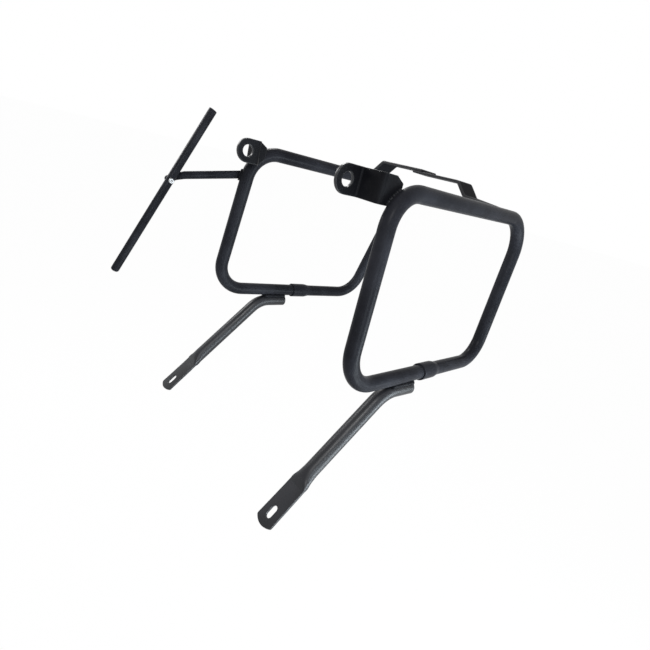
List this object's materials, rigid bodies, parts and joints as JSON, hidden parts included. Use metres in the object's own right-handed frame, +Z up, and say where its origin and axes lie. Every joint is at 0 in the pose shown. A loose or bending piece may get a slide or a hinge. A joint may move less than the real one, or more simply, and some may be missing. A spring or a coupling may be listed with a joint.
{
  "type": "pannier frame",
  "caption": "Black steel saddle-bag frame with leaning tube loops, a strap bridge, folded stud brackets, slotted lower arms and a rod on one side.",
  "frame": {"origin": "midpoint of the axis through the two upper stud holes, on the bike's centre plane", "axes": "+X towards the front of the bike, +Y to the rider's left along the stud axis, +Z up"},
  "size_m": [0.5394, 0.4543, 0.4909],
  "materials": {
    "powder_coat": "satin black powder coat",
    "zinc": "bright zinc plate"
  },
  "bodies": {
    "root": {"left_loop_tube": "powder_coat", "right_loop_tube": "powder_coat", "left_mount_bracket": "powder_coat", "right_mount_bracket": "powder_coat", "left_lower_arm": "powder_coat", "right_lower_arm": "powder_coat", "left_bridge_strap": "powder_coat", "right_bridge_strap": "powder_coat", "side_rod": "powder_coat", "rod_strut": "powder_coat", "left_bracket_weld": "powder_coat", "right_bracket_weld": "powder_coat", "left_arm_weld": "powder_coat", "right_arm_weld": "powder_coat", "left_strap_weld": "powder_coat", "right_strap_weld": "powder_coat", "lap_weld": "powder_coat", "strut_weld": "powder_coat", "rod_screw": "zinc", "rod_nut": "zinc"}
  },
  "joints": []
}
